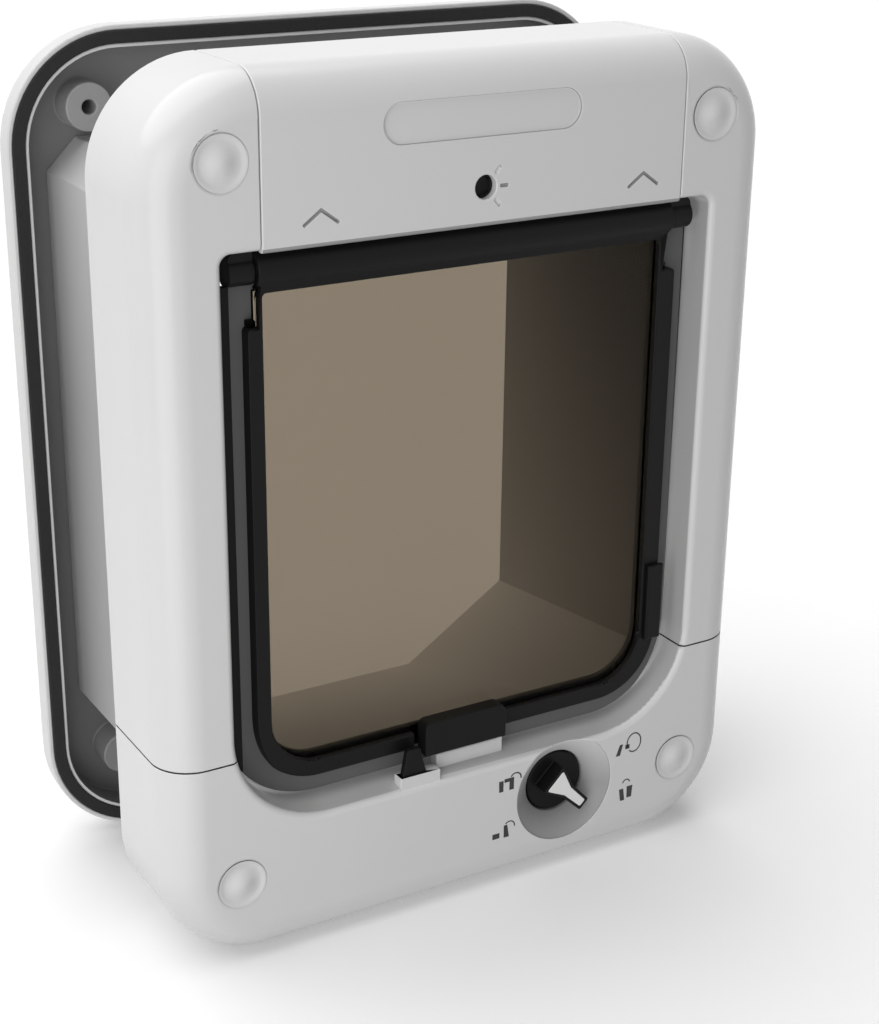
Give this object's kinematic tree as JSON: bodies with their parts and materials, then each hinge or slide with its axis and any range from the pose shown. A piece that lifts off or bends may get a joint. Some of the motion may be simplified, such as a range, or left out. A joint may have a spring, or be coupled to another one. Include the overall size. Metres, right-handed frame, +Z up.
{
  "type": "cat flap",
  "caption": "Locking cat flap for a door: room side housing with swinging smoked flap, latch, four-way dial and battery bay, joined by a tunnel to an outside frame.",
  "frame": {"origin": "under the middle of the whole unit, on the surface that both frames stand on", "axes": "+X to the right seen from the room, +Y through the door to the outside, +Z up"},
  "size_m": [0.1988, 0.108, 0.2505],
  "materials": {
    "white_plastic": "glossy moulded white",
    "black_plastic": "satin moulded black",
    "grey_plastic": "satin moulded grey",
    "smoked_pane": "clear smoked sheet",
    "grey_seal": "matt dark grey strip",
    "black_foam": "matt black foam",
    "steel": "bright steel",
    "magnet": "plated magnet",
    "copper_winding": "enamelled copper wire",
    "coil_case": "zinc plated",
    "board_green": "solder resist",
    "component_black": "moulded component",
    "cell_case": "printed foil jacket, no print"
  },
  "bodies": {
    "root": {"main_housing": "white_plastic", "lower_cover": "white_plastic", "back_cover": "white_plastic", "cap_top_left": "white_plastic", "cap_top_right": "white_plastic", "cap_bottom_left": "white_plastic", "cap_bottom_right": "white_plastic", "battery_tray": "grey_plastic", "battery_1": "cell_case", "battery_2": "cell_case", "battery_3": "cell_case", "battery_4": "cell_case", "contact_plates": "steel", "button_switch": "component_black", "tunnel_liner": "white_plastic", "tunnel_sleeve": "white_plastic", "rear_frame": "white_plastic", "rear_seal": "black_foam", "antenna_coil": "copper_winding", "circuit_board": "board_green", "board_parts": "component_black", "hinge_bracket_left": "black_plastic", "hinge_bracket_right": "black_plastic", "magnet_keeper": "white_plastic", "keeper_magnet": "magnet", "latch_bracket": "white_plastic", "latch_solenoid": "coil_case", "latch_spring": "steel", "detent_spring": "grey_plastic"},
    "flap": {"flap_frame": "black_plastic", "flap_pane": "smoked_pane", "flap_seal": "grey_seal", "magnet_holder": "black_plastic", "flap_magnet": "magnet", "side_clip": "black_plastic", "hinge_pin_left": "steel", "hinge_pin_right": "steel"},
    "latch": {"latch_tongue": "black_plastic", "latch_plunger": "steel"},
    "dial": {"dial_knob": "black_plastic", "pointer_inlay": "white_plastic", "dial_cam": "grey_plastic"},
    "bolt": {"out_bolt": "grey_plastic"},
    "battery_door": {"battery_cover": "white_plastic"},
    "button": {"learn_button": "black_plastic"}
  },
  "joints": [
    {"name": "flap_swing", "type": "hinge", "parent": "root", "child": "flap", "pos_m": [0, -0.0456, 0.1995], "axis": [1, 0, 0], "range_deg": [0, 85]},
    {"name": "latch_drop", "type": "slide", "parent": "root", "child": "latch", "axis": [0, 0, -1], "range_m": [0, 0.005], "stiffness_N_per_m": 50, "springref_m": -0.003, "deforming": ["latch_spring"]},
    {"name": "dial_turn", "type": "hinge", "parent": "root", "child": "dial", "pos_m": [0.033, -0.053, 0.0267], "axis": [0, -1, 0], "range_deg": [0, 270]},
    {"name": "out_bolt_lift", "type": "slide", "parent": "root", "child": "bolt", "axis": [0, 0, 1], "range_m": [0, 0.007]},
    {"name": "battery_cover_slide", "type": "slide", "parent": "root", "child": "battery_door", "axis": [0, 0, 1], "range_m": [0, 0.02]},
    {"name": "button_press", "type": "slide", "parent": "root", "child": "button", "axis": [0, 1, 0], "range_m": [0, 0.001], "stiffness_N_per_m": 200, "springref_m": -0.001}
  ],
  "couplings": [
    {"joint": "dial_turn", "follows": "out_bolt_lift", "rad_per_m": 673.2}
  ]
}
